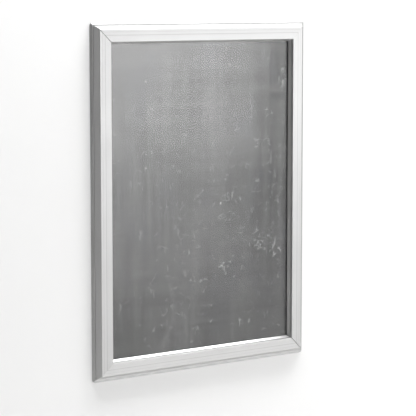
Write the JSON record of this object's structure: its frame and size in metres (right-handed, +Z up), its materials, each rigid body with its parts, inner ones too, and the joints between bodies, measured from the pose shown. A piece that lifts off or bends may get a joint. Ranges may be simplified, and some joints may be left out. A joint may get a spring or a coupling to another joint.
{
  "type": "snap poster frame",
  "caption": "Wall-mounted aluminium snap frame with mitred corners, hinged front-opening rails, a grey back panel and a clear cover sheet.",
  "frame": {"origin": "centre of the frame on the wall surface, which is the plane of the rails' backs", "axes": "+Z up, along the frame's long sides; the front faces -Y and the wall is on the +Y side; +X to the right seen from the front"},
  "size_m": [0.329, 0.0111, 0.452],
  "materials": {
    "base_aluminium": "satin anodised extrusion",
    "cover_aluminium": "satin silver anodised extrusion",
    "key_zinc": "zinc-plated pressed steel",
    "screw_steel": "black oxide",
    "spring_steel": "bright spring steel",
    "panel_sheet": "dull grey galvanised sheet, worn and dusty",
    "clear_plastic": "clear scratched plastic"
  },
  "bodies": {
    "frame": {"base_rail_left": "base_aluminium", "base_rail_bottom": "base_aluminium", "base_rail_right": "base_aluminium", "base_rail_top": "base_aluminium", "corner_key_bottom_left": "key_zinc", "corner_key_bottom_right": "key_zinc", "corner_key_top_right": "key_zinc", "corner_key_top_left": "key_zinc", "grub_screw_bottom_left_1": "screw_steel", "grub_screw_bottom_left_2": "screw_steel", "grub_screw_bottom_right_1": "screw_steel", "grub_screw_bottom_right_2": "screw_steel", "grub_screw_top_right_1": "screw_steel", "grub_screw_top_right_2": "screw_steel", "grub_screw_top_left_1": "screw_steel", "grub_screw_top_left_2": "screw_steel", "leaf_spring_left_1": "spring_steel", "leaf_spring_left_2": "spring_steel", "leaf_spring_bottom_1": "spring_steel", "leaf_spring_bottom_2": "spring_steel", "leaf_spring_right_1": "spring_steel", "leaf_spring_right_2": "spring_steel", "leaf_spring_top_1": "spring_steel", "leaf_spring_top_2": "spring_steel", "back_panel": "panel_sheet", "clear_sheet": "clear_plastic"},
    "cover_left": {"snap_cover_left": "cover_aluminium"},
    "cover_bottom": {"snap_cover_bottom": "cover_aluminium"},
    "cover_right": {"snap_cover_right": "cover_aluminium"},
    "cover_top": {"snap_cover_top": "cover_aluminium"}
  },
  "joints": [
    {"name": "open_left", "type": "hinge", "parent": "frame", "child": "cover_left", "pos_m": [-0.15926, -0.00248, 0], "axis": [0, 0, -1], "range_deg": [0, 90]},
    {"name": "open_bottom", "type": "hinge", "parent": "frame", "child": "cover_bottom", "pos_m": [0, -0.00248, -0.22076], "axis": [1, 0, 0], "range_deg": [0, 90]},
    {"name": "open_right", "type": "hinge", "parent": "frame", "child": "cover_right", "pos_m": [0.15926, -0.00248, 0], "axis": [0, 0, 1], "range_deg": [0, 90]},
    {"name": "open_top", "type": "hinge", "parent": "frame", "child": "cover_top", "pos_m": [0, -0.00248, 0.22076], "axis": [-1, 0, 0], "range_deg": [0, 90]}
  ]
}
